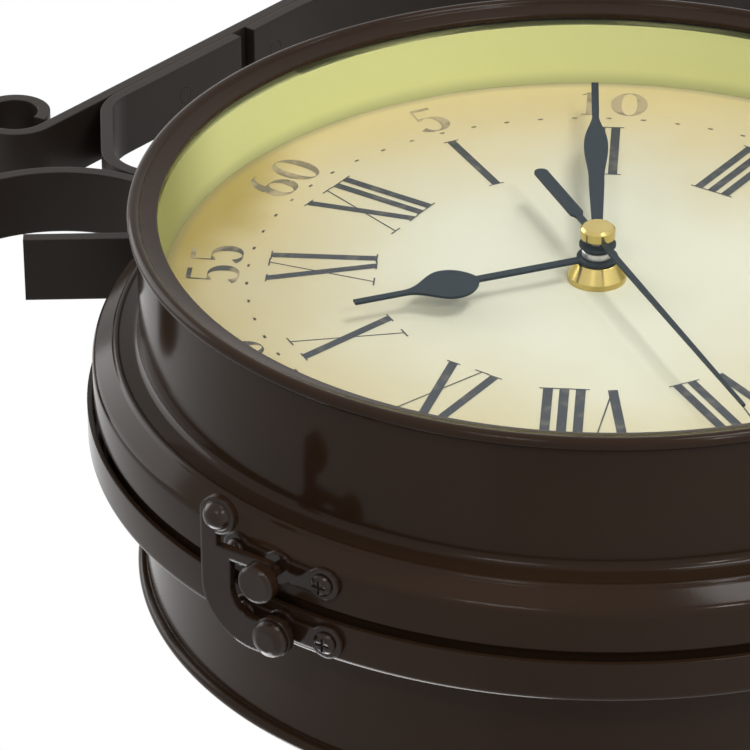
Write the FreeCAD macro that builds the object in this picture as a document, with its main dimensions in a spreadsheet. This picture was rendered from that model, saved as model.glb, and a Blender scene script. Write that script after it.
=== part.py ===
import FreeCAD, Part
import math
import os
import re
import Sketcher

# Double-sided wall clock. The frame's origin is the middle of the wall plate's back face, +Z is up and
# the wall is at +X. The front dial faces -Y and the rear dial faces +Y.
DOC = FreeCAD.newDocument("double_sided_wall_clock")
SHEET = DOC.addObject("Spreadsheet::Sheet", "Sizes")

SIZES = {
    # Place of the clock: clear of the wall, and below the middle of the wall plate.
    "wall_clearance": 67.5,
    "plate_middle_below_arm": 30.0,
    # Pressed case half: sloping bezel, straight drum wall, cove, step and flange at the split.
    "opening_radius": 97.0,
    "bezel_width": 4.8,
    "bezel_rise": 0.9,
    "bead_tube": 1.5,
    "bead_overhang": 2.0,
    "bead_rise": 0.3,
    "cove_width": 5.8,
    "cove_rise": 1.4,
    "cove_fillet": 2.6,
    "step_rise": 3.2,
    "step_fillet": 0.9,
    "flange_width": 4.9,
    "flange_height": 10.2,
    "flange_fillet": 1.2,
    "rear_lip": 1.5,
    "split_gap": 1.0,
    "case_wall": 1.2,
    "slope_share": 0.6,
    # Ring inside the split that lines the two halves up.
    "locator_reach": 5.0,
    "locator_seat": 9.2,
    "locator_gap": 0.6,
    # Glass, dial sleeve, dial and the ring that keeps them in.
    "seat_gap": 0.2,
    "glass_thickness": 2.0,
    "sleeve_top_outset": 0.4,
    "sleeve_inset": 0.9,
    "sleeve_height": 14.9,
    "dial_thickness": 0.8,
    "dial_hole_gap": 0.2,
    "retainer_width": 5.4,
    "retainer_height": 2.5,
    # Quartz movement: moulded tray, cover, battery and its contacts, board with the drive coil.
    "works_clearance": 6.1,
    "tray_top": 24.0,
    "tray_bottom": 32.0,
    "tray_depth": 14.0,
    "tray_wall": 1.6,
    "bay_top": 14.2,
    "bay_divider": 1.2,
    "cover_thickness": 1.6,
    "window_inset": 0.8,
    "bush_radius": 3.9,
    "bush_reach": 4.6,
    "battery_radius": 6.9,
    "battery_length": 48.4,
    "battery_tip_radius": 2.6,
    "battery_tip_length": 1.4,
    "contact_thickness": 1.1,
    "contact_width": 9.0,
    "contact_height": 8.0,
    "contact_gap": 0.15,
    "contact_clearance": 0.25,
    "board_near": 13.0,
    "board_edge_gap": 2.4,
    "board_low": 9.0,
    "board_high": 19.0,
    "board_thickness": 1.2,
    "coil_radius": 3.4,
    "coil_cheek": 1.4,
    "coil_cheek_half": 4.2,
    "coil_cheek_depth": 9.0,
    # Hand works: concentric tubes, their wheels and the setting arbor beside them.
    "running_gap": 0.08,
    "push_gap": 0.02,
    "hour_tube_radius": 2.55,
    "minute_tube_radius": 1.65,
    "second_arbor_radius": 0.7,
    "tube_wall": 0.8,
    "works_distance": 12.0,
    "pinion_teeth": 12,
    "minute_wheel_teeth": 36,
    "hour_wheel_teeth": 48,
    "second_wheel_teeth": 48,
    "second_wheel_radius": 6.0,
    "tooth_thickness_share": 0.38,
    "tooth_tip_share": 0.18,
    "tooth_root_share": 0.5,
    "addendum_share": 0.85,
    "dedendum_share": 1.2,
    "wheel_face": 1.2,
    "pinion_extra": 0.3,
    "hour_wheel_drop": 0.5,
    "minute_wheel_drop": 4.5,
    "second_wheel_drop": 9.0,
    "arbor_end_gap": 0.3,
    "setting_arbor_radius": 1.0,
    "setting_knob_radius": 6.0,
    "setting_knob_height": 3.0,
    "setting_knob_gap": 0.5,
    "setting_knob_grips": 12,
    "setting_knob_grip_radius": 0.7,
    # Hands and their fixings, heights from the dial's face.
    "nut_radius": 6.6,
    "nut_rim": 1.2,
    "nut_top_radius": 4.7,
    "nut_height": 4.5,
    "hand_thickness": 0.6,
    "hour_hand_level": 5.0,
    "hour_hub_radius": 4.6,
    "hour_collar_radius": 3.3,
    "hour_collar_top": 7.4,
    "hour_hand_length": 57.4,
    "hour_stem_half": 1.05,
    "hour_leaf_start": 28.5,
    "hour_leaf_half": 6.0,
    "hour_leaf_end": 45.5,
    "hour_tip_half": 0.85,
    "hour_angle": 304.8,
    "minute_hand_level": 8.2,
    "minute_hub_radius": 4.1,
    "minute_tube_top": 9.0,
    "minute_hand_length": 79.0,
    "minute_stem_half": 0.95,
    "minute_stem_far_half": 1.8,
    "minute_leaf_start": 29.0,
    "minute_leaf_half": 2.8,
    "minute_leaf_end": 63.5,
    "minute_tip_half": 0.85,
    "minute_angle": 57.4,
    "second_hand_level": 9.8,
    "second_hub_radius": 2.6,
    "second_arbor_top": 11.4,
    "second_hand_length": 78.0,
    "second_needle_half": 0.8,
    "second_tip_half": 0.35,
    "second_tail_start": 10.5,
    "second_tail_length": 34.5,
    "second_tail_half": 1.6,
    "second_angle": 215.0,
    "cap_radius": 3.9,
    "cap_height": 2.6,
    "cap_edge": 0.6,
    # Pan-head screws that hold the latch, the hinge and the hanger feet to the case.
    "screw_radius": 1.4,
    "screw_past": 0.8,
    "screw_head_radius": 2.5,
    "screw_head_height": 1.3,
    "screw_head_side": 0.5,
    "screw_slot_width": 0.6,
    "screw_slot_depth": 0.7,
    "screw_slot_share": 0.65,
    "screw_hole_gap": 0.1,
    # Swing-hook latch at nine o'clock: keeper on the front flange, base plate and hook on the rear one.
    "plate_thickness": 1.2,
    "plate_lobe": 3.8,
    "plate_waist": 2.6,
    "keeper_up": 6.4,
    "keeper_height": 7.2,
    "keeper_screw_half": 11.3,
    "post_neck_radius": 1.4,
    "post_head_radius": 4.3,
    "post_head_height": 3.2,
    "post_head_edge": 0.6,
    "base_up": 3.6,
    "base_height": 5.6,
    "base_screw_half": 10.2,
    "pivot_up": 4.4,
    "pivot_height": 6.4,
    "pivot_radius": 1.5,
    "pivot_head_radius": 4.2,
    "pivot_head_height": 2.2,
    "pivot_dome_edge_share": 0.35,
    "pivot_dome_shoulder_share": 0.88,
    "pivot_dome_shoulder_rise": 0.72,
    "pivot_dome_top_share": 0.56,
    "pivot_boss_radius": 3.2,
    "hook_thickness": 1.8,
    "hook_gap": 0.3,
    "hook_eye_radius": 4.4,
    "hook_bend_radius": 9.6,
    "hook_bend_past_pivot": 4.6,
    "hook_width": 7.4,
    "hook_finger_width": 4.0,
    "hook_finger_length": 16.6,
    "hook_knob_radius": 4.3,
    "hook_ball_radius": 3.4,
    "hook_nib_width": 2.4,
    "hook_nib_past": 1.6,
    # Butt hinge at three o'clock, its pin upright.
    "hinge_out": 5.7,
    "knuckle_radius": 2.4,
    "hinge_pin_radius": 1.2,
    "hinge_pin_head": 1.9,
    "hinge_pin_head_height": 0.8,
    "hinge_half_height": 16.0,
    "hinge_mid_half": 5.0,
    "knuckle_gap": 0.4,
    "leaf_near": 3.0,
    "leaf_far": 9.6,
    "web_near": 1.2,
    "web_far": 3.8,
    "hinge_screw_half": 11.0,
    "hinge_screw_height": 6.4,
    # Flat bar that the whole bracket is bent from.
    "bar_width": 16.0,
    "bar_thickness": 3.0,
    "bar_bend": 5.0,
    # Wall plate with a screw hole near each end.
    "wall_plate_width": 30.0,
    "wall_plate_length": 200.0,
    "wall_plate_thickness": 3.0,
    "wall_hole_radius": 2.75,
    # Arm: foot on the wall plate, gentle rise, rolled tip above the clock.
    "arm_above_case": 36.0,
    "arm_foot": 34.0,
    "arm_rise_deg": 5.4,
    "arm_tip_to_clock": 17.0,
    "curl_radius": 9.5,
    "curl_turn_deg": 200.0,
    "curl_inner_share": 0.8,
    "curl_inner_turn_deg": 150.0,
    # Brace: foot on the wall plate, quarter bend up under the arm.
    "brace_below_arm_foot": 35.5,
    "brace_foot": 26.0,
    "brace_lap": 16.0,
    # Hanger leg: lies under the arm, slants down to the scroll and is screwed to the top of the rear half.
    "leg_brace_gap": 5.0,
    "leg_bend": 14.0,
    "leg_lap_end_to_clock": 41.0,
    "leg_slant_deg": 38.0,
    "leg_scroll_gap": 0.3,
    "leg_foot_deg": 10.5,
    "leg_screw_half": 5.0,
    # Scroll on top of the case beside the hanger leg.
    "scroll_end_length": 26.5,
    "scroll_end_deg": 53.9,
    "scroll_foot_from_deg": 5.4,
    "scroll_rise_to_clock": 7.0,
    "scroll_rise": 12.0,
    "scroll_radius": 34.2,
    "scroll_turn_deg": 180.0,
    "scroll_tip_radius": 10.0,
    "scroll_tip_turn_deg": 190.0,
    "foot_screw_depth": 5.2,
    # Rivets through the bars and the wall plate.
    "rivet_radius": 2.0,
    "rivet_head_radius": 3.6,
    "rivet_head_height": 1.8,
    "rivet_gap": 0.05,
    "wall_rivet_inset": 9.0,
    # How far a cutting solid runs past what it cuts.
    "overrun": 2.0,
}

# Sizes that follow from the others. The case's depth is the stack from the middle of the clock outwards.
DERIVED = {
    "drum_radius": "opening_radius + bezel_width",
    "step_radius": "drum_radius + cove_width",
    "flange_radius": "step_radius + flange_width",
    "step_height": "flange_height + step_rise",
    "cove_height": "step_height + cove_rise",
    "cover_back": "works_clearance + setting_knob_height + setting_knob_gap",
    "tray_back": "cover_back + cover_thickness",
    "dial_back": "tray_back + tray_depth",
    "contact_near": "(battery_length + battery_tip_length) / 2 + contact_gap",
    "tray_half_width": "contact_near + contact_thickness + contact_clearance + tray_wall",
    "board_far": "tray_half_width - tray_wall - board_edge_gap",
    "dial_height": "dial_back + dial_thickness",
    "glass_low": "dial_height + sleeve_height",
    "glass_top": "glass_low + glass_thickness",
    "opening_height": "glass_top + case_wall",
    "bead_height": "opening_height + bead_rise",
    "rim_radius": "drum_radius - case_wall - seat_gap",
    "wall_to_clock": "flange_radius + wall_clearance",
    "arm_height": "flange_radius + rear_lip + arm_above_case",
    "clock_drop": "arm_height - plate_middle_below_arm",
    "leg_to_clock": "scroll_rise_to_clock + bar_thickness + leg_scroll_gap",
    "brace_height": "arm_height - arm_foot - brace_below_arm_foot - brace_foot",
}

# Curved edges of the hands, as shares of the leaf's length and of its half width.
HOUR_LEAF_SHARES = [(0.1, 0.62), (0.26, 0.94), (0.44, 1.0), (0.66, 0.66), (0.84, 0.28)]
MINUTE_LEAF_SHARES = [(0.2, 0.72), (0.5, 1.0), (0.74, 0.72), (0.9, 0.32)]

for row, (alias, value) in enumerate(SIZES.items(), start=1):
    SHEET.set(f"A{row}", alias)
    SHEET.set(f"B{row}", str(value))
    SHEET.setAlias(f"B{row}", alias)
DOC.recompute()

NODES = []
FRONT = FreeCAD.Rotation(FreeCAD.Vector(1, 0, 0), 90)
REAR = FreeCAD.Rotation(FreeCAD.Vector(0, 0, 1), 180).multiply(FRONT)
FACES = {"front": FRONT, "rear": REAR}
TURNS = {
    "x": FreeCAD.Rotation(FreeCAD.Vector(0, 1, 0), 90),
    "y": FreeCAD.Rotation(FreeCAD.Vector(1, 0, 0), -90),
    "z": FreeCAD.Rotation(),
}


def spelled(expression):
    """An expression with each derived size written out in the sheet's names."""
    def expand(word):
        return f"({spelled(DERIVED[word[0]])})" if word[0] in DERIVED else word[0]
    return re.sub(r"[a-z_]+", expand, expression)


def size(expression):
    """The value of an expression written in the names of sizes."""
    return float(SHEET.evalExpression(spelled(expression)))


def bound(expression):
    """The same expression as other objects of the document read it."""
    def named(word):
        return f"Sizes.{word[0]}" if word[0] in SIZES else word[0]
    return re.sub(r"[a-z_]+", named, spelled(expression))


def at(item, place, turn):
    """Puts an object at a place given as three expressions."""
    item.Placement = FreeCAD.Placement(FreeCAD.Vector(), turn)
    for letter, expression in zip("xyz", place):
        item.setExpression(f"Placement.Base.{letter}", bound(expression))
    return item


def on_clock(item, face="front"):
    """Turns a piece modelled about the dial's centre (x right, y up, z outwards) to its face of the clock."""
    return at(item, ("-wall_to_clock", "0", "-clock_drop"), FACES[face])


def node(item):
    """Marks an object as one sub-part of the clock."""
    NODES.append(item)
    return item


def outline(body, name, plane, corners):
    """A closed sketch through corners whose coordinates are expressions."""
    sketch = body.newObject("Sketcher::SketchObject", name)
    support = next(item for item in body.Origin.OriginFeatures if item.Role == plane)
    sketch.AttachmentSupport = (support, [""])
    sketch.MapMode = "FlatFace"
    points = [FreeCAD.Vector(size(across), size(along)) for across, along in corners]
    count = len(points)
    for index, point in enumerate(points):
        sketch.addGeometry(Part.LineSegment(point, points[(index + 1) % count]))
    for index in range(count):
        sketch.addConstraint(Sketcher.Constraint("Coincident", index, 2, (index + 1) % count, 1))
    for index, (point, corner) in enumerate(zip(points, corners)):
        for kind, value, expression in zip(("DistanceX", "DistanceY"), (point.x, point.y), corner):
            which = sketch.addConstraint(Sketcher.Constraint(kind, -1, 1, index, 1, value))
            sketch.setExpression(f"Constraints[{which}]", bound(expression))
    return sketch


def turned(label, corners):
    """A body turned about its z axis from a profile of (radius, height) corners."""
    body = DOC.addObject("PartDesign::Body", label)
    sketch = outline(body, f"{label}_profile", "XZ_Plane", corners)
    turning = body.newObject("PartDesign::Revolution", f"{label}_turning")
    turning.Profile = sketch
    turning.ReferenceAxis = (sketch, ["V_Axis"])
    turning.Angle = 360
    body.Tip = turning
    return body


def rounded(body, places, radius):
    """Rounds the turned edges that pass through (radius, height) places."""
    DOC.recompute()
    names = []
    for index, edge in enumerate(body.Tip.Shape.Edges, start=1):
        if not isinstance(edge.Curve, Part.Circle):
            continue
        for across, along in places:
            spot = FreeCAD.Vector(edge.Curve.Radius - size(across), edge.Curve.Center.z - size(along))
            if spot.Length < size("push_gap"):
                names.append(f"Edge{index}")
    before = body.Tip
    rounding = body.newObject("PartDesign::Fillet", f"{body.Name}_round_{len(body.Group)}")
    rounding.Base = (before, names)
    rounding.setExpression("Radius", bound(radius))
    body.Tip = rounding
    return body


def rod(name, radius, length, start, axis="z"):
    """A cylinder from a starting point along an axis."""
    item = DOC.addObject("Part::Cylinder", name)
    item.setExpression("Radius", bound(radius))
    item.setExpression("Height", bound(length))
    return at(item, start, TURNS[axis])


def block(name, lengths, corner):
    """A box from its lowest corner."""
    item = DOC.addObject("Part::Box", name)
    for side, expression in zip(("Length", "Width", "Height"), lengths):
        item.setExpression(side, bound(expression))
    return at(item, corner, TURNS["z"])


def fused(label, items):
    """One solid from several that meet."""
    item = DOC.addObject("Part::MultiFuse", label)
    item.Shapes = items
    return item


def cut(label, base, tools):
    """What is left of a solid once the tools are taken out of it."""
    item = DOC.addObject("Part::Cut", label)
    item.Base = base
    item.Tool = tools[0] if len(tools) == 1 else fused(f"{label}_tools", tools)
    return item


def shared(label, first, second):
    """What two solids have in common."""
    item = DOC.addObject("Part::Common", label)
    item.Base = first
    item.Tool = second
    return item


def formed(label, shape):
    """A sub-part whose shape comes from a formula on the sheet's sizes."""
    item = DOC.addObject("Part::Feature", label)
    move = shape.Placement.toMatrix()
    shape.Placement = FreeCAD.Placement()
    item.Shape = shape.transformed(move, copy=True)
    return item


def radial(angle, radius, height):
    """A placement on the drum whose z axis points outwards, angle in degrees from three o'clock."""
    turn = FreeCAD.Rotation(FreeCAD.Vector(0, 0, 1), angle).multiply(TURNS["x"])
    outwards = turn.multVec(FreeCAD.Vector(0, 0, 1))
    return FreeCAD.Placement(outwards * radius + FreeCAD.Vector(0, 0, height), turn)


def side_angle(side, rise, radius):
    """The angle on the drum of a point that lies rise above the line through three or nine o'clock."""
    lift = math.degrees(math.asin(rise / radius))
    return lift if side == "right" else 180 - lift


# Screws: a turned pan head with a cross recess, with a shank for what it holds, copied to each place.


def screw(label, reach):
    """One screw, its head standing on the plane that its copies are placed by."""
    blank = turned(f"{label}_blank", [
        ("0", f"-({reach})"),
        ("screw_radius", f"-({reach})"),
        ("screw_radius", "0"),
        ("screw_head_radius", "0"),
        ("screw_head_radius", "screw_head_side"),
        ("screw_head_radius * screw_slot_share", "screw_head_height"),
        ("0", "screw_head_height"),
    ])
    half = "screw_head_radius * screw_slot_share"
    floor = "screw_head_height - screw_slot_depth"
    return cut(label, blank, [
        block(f"{label}_slot_across", (f"2 * {half}", "screw_slot_width", "screw_slot_depth + overrun"),
              (f"-{half}", "-screw_slot_width / 2", floor)),
        block(f"{label}_slot_along", ("screw_slot_width", f"2 * {half}", "screw_slot_depth + overrun"),
              ("-screw_slot_width / 2", f"-{half}", floor)),
    ])


plate_screw = screw("plate_screw", "plate_thickness + case_wall + screw_past")
foot_screw = screw("foot_screw", "bar_thickness + case_wall + screw_past")
rivet_pattern = turned("rivet_pattern", [
    ("0", "0"),
    ("rivet_head_radius", "0"),
    ("rivet_head_radius * screw_slot_share", "rivet_head_height"),
    ("0", "rivet_head_height"),
])
DOC.recompute()


def group(label, pattern, places):
    """Separate copies of one fastener, kept together as one sub-part."""
    copies = []
    for place in places:
        copy = pattern.Shape.copy()
        copy.Placement = place
        copies.append(copy)
    return formed(label, Part.makeCompound(copies))


def holes(label, places):
    """Clearance holes for screws at the same places."""
    drill = Part.makeCylinder(
        size("screw_radius + screw_hole_gap"),
        size("2 * (bar_thickness + case_wall + overrun)"),
        FreeCAD.Vector(0, 0, -size("bar_thickness + case_wall + overrun")),
    )
    drills = []
    for place in places:
        copy = drill.copy()
        copy.Placement = place
        drills.append(copy)
    return formed(label, Part.makeCompound(drills))


# Places of the screws on the case, each on the outside of the plate or bar that it holds.
front_face = size("flange_radius + plate_thickness")
rear_face = size("flange_radius + rear_lip + plate_thickness")
foot_face = size("flange_radius + rear_lip + bar_thickness")
keeper_places = []
base_places = []
hinge_front_places = []
hinge_rear_places = []
for sign in (1, -1):
    keeper_angle = side_angle("left", size("keeper_up") + sign * size("keeper_screw_half"), front_face)
    keeper_places.append(radial(keeper_angle, front_face, size("keeper_height")))
    base_angle = side_angle("left", size("base_up") + sign * size("base_screw_half"), rear_face)
    base_places.append(radial(base_angle, rear_face, -size("base_height")))
    leaf_angle = side_angle("right", sign * size("hinge_screw_half"), front_face)
    hinge_front_places.append(radial(leaf_angle, front_face, size("hinge_screw_height")))
    hinge_rear_places.append(radial(leaf_angle, rear_face, -size("hinge_screw_height")))

# The bars' feet follow a circle half a bar outside the rear lip.
foot_radius = size("flange_radius + rear_lip + bar_thickness / 2")
leg_bend_centre = foot_radius + size("bar_bend")
leg_angle = math.degrees(math.asin(size("leg_to_clock + bar_bend") / leg_bend_centre))
scroll_bend_sine = size("scroll_rise_to_clock - bar_bend") / leg_bend_centre
scroll_angle = math.degrees(math.asin(scroll_bend_sine))
foot_places = []
leg_middle = leg_angle + size("leg_foot_deg") / 2
leg_spread = math.degrees(size("leg_screw_half") / foot_face)
scroll_middle = (scroll_angle - size("scroll_foot_from_deg")) / 2
for from_top in (scroll_middle, leg_middle - leg_spread, leg_middle + leg_spread):
    foot_places.append(radial(90 - from_top, foot_face, -size("foot_screw_depth")))


def case_half(face, lip, places):
    """One pressed half of the drum, with the rolled bead and the screw holes in its flange."""
    edge = f"flange_radius + {lip}"
    inner_edge = f"{edge} - case_wall"
    shell = turned(f"{face}_shell", [
        ("opening_radius", "opening_height"),
        ("drum_radius", "opening_height + bezel_rise"),
        ("drum_radius", "cove_height"),
        ("step_radius", "step_height"),
        (edge, "flange_height"),
        (edge, "split_gap"),
        (inner_edge, "split_gap"),
        (inner_edge, "flange_height - case_wall * slope_share"),
        ("step_radius - case_wall * slope_share", "step_height - case_wall"),
        ("drum_radius - case_wall", "cove_height - case_wall"),
        ("drum_radius - case_wall", "opening_height - case_wall"),
        ("opening_radius", "opening_height - case_wall"),
    ])
    rounded(shell, [("drum_radius", "cove_height")], "cove_fillet")
    rounded(shell, [("step_radius", "step_height")], "step_fillet")
    rounded(shell, [(edge, "flange_height")], "flange_fillet")
    bead = shell.newObject("PartDesign::AdditiveTorus", f"{face}_bead")
    bead.setExpression("Radius1", bound("drum_radius + bead_overhang - bead_tube"))
    bead.setExpression("Radius2", bound("bead_tube"))
    bead.setExpression("Placement.Base.z", bound("bead_height"))
    shell.Tip = bead
    on_clock(shell, face)
    drills = on_clock(holes(f"{face}_case_holes", places))
    return node(cut(f"{face}_case", shell, [drills]))


case_half("front", "0", keeper_places + hinge_front_places)
case_half("rear", "rear_lip", base_places + hinge_rear_places + foot_places)

# Locating ring: welded inside the rear flange, it reaches past the split into the front half.
locator_outside = "flange_radius - case_wall - locator_gap"
rear_flange_inside = "flange_radius + rear_lip - case_wall"
locator_floor = "locator_seat - case_wall"
node(on_clock(turned("locating_ring", [
    (f"{locator_outside} - case_wall", "-locator_reach"),
    (locator_outside, "-locator_reach"),
    (locator_outside, locator_floor),
    (rear_flange_inside, locator_floor),
    (rear_flange_inside, "locator_seat"),
    (f"{locator_outside} - case_wall", "locator_seat"),
]), "rear"))


def toothed(teeth, module, low, high, phase):
    """A toothed wheel about z with straight-flanked teeth, the first one at the phase angle."""
    pitch_radius = teeth * module / 2
    tip = pitch_radius + module * size("addendum_share")
    root = pitch_radius - module * size("dedendum_share")
    pitch = math.pi * module
    flank = [
        (root, -size("tooth_root_share") * pitch / 2 / root),
        (pitch_radius, -size("tooth_thickness_share") * pitch / 2 / pitch_radius),
        (tip, -size("tooth_tip_share") * pitch / 2 / tip),
    ]
    tooth = flank + [(radius, -angle) for radius, angle in reversed(flank)]
    points = []
    for index in range(int(teeth)):
        middle = math.radians(phase) + 2 * math.pi * index / teeth
        for radius, angle in tooth:
            points.append(FreeCAD.Vector(
                radius * math.cos(middle + angle), radius * math.sin(middle + angle), low))
    face = Part.Face(Part.makePolygon(points + points[:1]))
    return face.extrude(FreeCAD.Vector(0, 0, high - low))


def bar(radius, low, high):
    """A plain round shaft about z."""
    return Part.makeCylinder(radius, high - low, FreeCAD.Vector(0, 0, low))


def leaf(start, end, half, start_half, end_half, shares):
    """A leaf's edge as (distance, half width) pairs, its shares being of the leaf's length and half width."""
    middle = [(start + (end - start) * along, half * across) for along, across in shares]
    return [(start, start_half)] + middle + [(end, end_half)]


def hand(runs, rounds, bore, level, angle):
    """A flat hand. A run of two (distance, half width) pairs is straight and a longer one is a curve."""
    edges = []
    for mirror in (1, -1):
        for run in runs:
            points = [FreeCAD.Vector(mirror * half, along) for along, half in run]
            curve = Part.BSplineCurve()
            curve.interpolate(points)
            edges.append(curve.toShape() if len(run) > 2 else Part.LineSegment(*points).toShape())
    for along, half in (runs[0][0], runs[-1][-1]):
        edges.append(Part.LineSegment(FreeCAD.Vector(-half, along), FreeCAD.Vector(half, along)).toShape())
    thick = size("hand_thickness")
    blade = Part.Face(Part.Wire(Part.__sortEdges__(edges))).extrude(FreeCAD.Vector(0, 0, thick))
    for along, radius in rounds:
        blade = blade.fuse(Part.makeCylinder(radius, thick, FreeCAD.Vector(0, along)))
    blade = blade.removeSplitter().cut(bar(bore, -size("overrun"), size("overrun")))
    blade.rotate(FreeCAD.Vector(), FreeCAD.Vector(0, 0, 1), -angle)
    blade.translate(FreeCAD.Vector(0, 0, level))
    return blade


def dial_side(face):
    """Everything behind and in front of one dial."""
    # Glass against the bezel, sleeve between glass and dial, dial, and the ring sprung in behind it.
    node(on_clock(turned(f"{face}_glass", [
        ("0", "glass_low"),
        ("rim_radius", "glass_low"),
        ("rim_radius", "glass_top"),
        ("0", "glass_top"),
    ]), face))
    node(on_clock(turned(f"{face}_dial_sleeve", [
        ("opening_radius - sleeve_inset", "dial_height"),
        ("opening_radius + sleeve_top_outset", "glass_low"),
        ("rim_radius", "glass_low"),
        ("rim_radius", "glass_low - case_wall"),
        ("opening_radius + sleeve_top_outset + case_wall", "glass_low - case_wall"),
        ("opening_radius - sleeve_inset + case_wall", "dial_height"),
    ]), face))
    node(on_clock(turned(f"{face}_dial", [
        ("bush_radius + dial_hole_gap", "dial_back"),
        ("rim_radius", "dial_back"),
        ("rim_radius", "dial_height"),
        ("bush_radius + dial_hole_gap", "dial_height"),
    ]), face))
    node(on_clock(turned(f"{face}_dial_retainer", [
        ("rim_radius - retainer_width", "dial_back - retainer_height"),
        ("rim_radius", "dial_back - retainer_height"),
        ("rim_radius", "dial_back"),
        ("rim_radius - retainer_width", "dial_back"),
    ]), face))

    # Movement tray with the threaded bush, split into a works room and a battery bay.
    room_depth = "tray_depth - tray_wall"
    room_width = "2 * (tray_half_width - tray_wall)"
    bore = "hour_tube_radius + running_gap"
    tray = fused(f"{face}_tray_blank", [
        block(f"{face}_tray_box", ("2 * tray_half_width", "tray_top + tray_bottom", "tray_depth"),
              ("-tray_half_width", "-tray_bottom", "tray_back")),
        rod(f"{face}_tray_bush", "bush_radius", "tray_wall + dial_thickness + bush_reach",
            ("0", "0", "dial_back - tray_wall")),
    ])
    node(on_clock(cut(f"{face}_movement_tray", tray, [
        block(f"{face}_works_room", (room_width, "tray_top - tray_wall + bay_top - bay_divider", room_depth),
              ("tray_wall - tray_half_width", "bay_divider - bay_top", "tray_back")),
        block(f"{face}_battery_bay", (room_width, "tray_bottom - tray_wall - bay_top", room_depth),
              ("tray_wall - tray_half_width", "tray_wall - tray_bottom", "tray_back")),
        rod(f"{face}_tray_bore", bore, "tray_depth + bush_reach + overrun", ("0", "0", "tray_back")),
    ]), face))
    node(on_clock(cut(
        f"{face}_movement_cover",
        block(f"{face}_cover_blank", ("2 * tray_half_width", "tray_top + tray_bottom", "cover_thickness"),
              ("-tray_half_width", "-tray_bottom", "cover_back")),
        [
            block(f"{face}_cover_window",
                  (f"{room_width} - 2 * window_inset", "tray_bottom - tray_wall - bay_top",
                   "cover_thickness + 2 * overrun"),
                  ("tray_wall + window_inset - tray_half_width", "tray_wall - tray_bottom",
                   "cover_back - overrun")),
            rod(f"{face}_cover_bore", "setting_arbor_radius + running_gap", "cover_thickness + 2 * overrun",
                ("0", "works_distance", "cover_back - overrun")),
        ]), face))

    # Battery across the bay, with a bent contact at each end.
    bay_middle = "-(tray_bottom - tray_wall + bay_top) / 2"
    battery_axis = "dial_back - tray_wall - battery_radius - seat_gap"
    battery_end = "-(battery_length + battery_tip_length) / 2"
    node(on_clock(fused(f"{face}_battery", [
        rod(f"{face}_battery_can", "battery_radius", "battery_length",
            (battery_end, bay_middle, battery_axis), "x"),
        rod(f"{face}_battery_tip", "battery_tip_radius", "battery_length + battery_tip_length",
            (battery_end, bay_middle, battery_axis), "x"),
    ]), face))
    contact_low = f"{battery_axis} - contact_height / 2"
    contacts = DOC.addObject("Part::Compound", f"{face}_battery_contacts")
    contacts.Links = [
        block(f"{face}_contact_{end}", ("contact_thickness", "contact_width", "contact_height"),
              (start, f"{bay_middle} - contact_width / 2", contact_low))
        for end, start in (("plus", "contact_near"), ("minus", "-(contact_near + contact_thickness)"))
    ]
    node(on_clock(contacts, face))

    # Circuit board on the tray's floor, carrying the drive coil between two cheeks.
    board_top = "dial_back - tray_wall"
    board_length = "board_low + board_high"
    coil_across = "(board_near + board_far) / 2"
    coil_axis = f"{board_top} - board_thickness - coil_cheek_depth / 2"
    cheek_size = ("2 * coil_cheek_half", "coil_cheek", "coil_cheek_depth")
    cheek_low = f"{board_top} - board_thickness - coil_cheek_depth"
    node(on_clock(fused(f"{face}_drive_coil", [
        block(f"{face}_board", ("board_far - board_near", board_length, "board_thickness"),
              ("board_near", "-board_low", f"{board_top} - board_thickness")),
        rod(f"{face}_coil", "coil_radius", board_length, (coil_across, "-board_low", coil_axis), "y"),
        block(f"{face}_cheek_low", cheek_size, (f"{coil_across} - coil_cheek_half", "-board_low", cheek_low)),
        block(f"{face}_cheek_high", cheek_size,
              (f"{coil_across} - coil_cheek_half", "board_high - coil_cheek", cheek_low)),
    ]), face))

    # Flared brass nut on the bush.
    node(on_clock(turned(f"{face}_dial_nut", [
        ("bush_radius + push_gap", "dial_height"),
        ("nut_radius", "dial_height"),
        ("nut_radius", "dial_height + nut_rim"),
        ("nut_top_radius", "dial_height + nut_height"),
        ("bush_radius + push_gap", "dial_height + nut_height"),
    ]), face))

    # Hand works. The minute pinion turns the setting wheel, whose own pinion turns the hour wheel.
    dial = size("dial_height")
    room_top = size(board_top)
    distance = size("works_distance")
    pinion_teeth = size("pinion_teeth")
    minute_module = 2 * distance / (pinion_teeth + size("minute_wheel_teeth"))
    hour_module = 2 * distance / (pinion_teeth + size("hour_wheel_teeth"))
    face_width = size("wheel_face")
    extra = size("pinion_extra")
    gap = size("running_gap")
    push = size("push_gap")
    hour_high = room_top - size("hour_wheel_drop")
    minute_high = room_top - size("minute_wheel_drop")
    second_high = room_top - size("second_wheel_drop")
    hour_low = hour_high - face_width
    minute_low = minute_high - face_width
    minute_outside = size("minute_tube_radius")
    arbor_radius = size("second_arbor_radius")

    hour_tube = size("hour_tube_radius")
    hour_teeth = size("hour_wheel_teeth")
    hour_wheel = toothed(hour_teeth, hour_module, hour_low, hour_high, 180 / hour_teeth)
    hour_wheel = hour_wheel.fuse(bar(hour_tube, hour_low, dial + size("hour_collar_top")))
    hour_wheel = hour_wheel.cut(bar(minute_outside + gap, 0, 2 * dial))
    node(on_clock(formed(f"{face}_hour_wheel", hour_wheel), face))

    tube_top = dial + size("minute_tube_top")
    pinion = toothed(pinion_teeth, minute_module, minute_low - extra, minute_high + extra, 90)
    pinion = pinion.fuse(bar(minute_outside, minute_low - extra, tube_top))
    pinion = pinion.cut(bar(arbor_radius + gap, 0, 2 * dial))
    node(on_clock(formed(f"{face}_minute_pinion", pinion), face))

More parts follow.
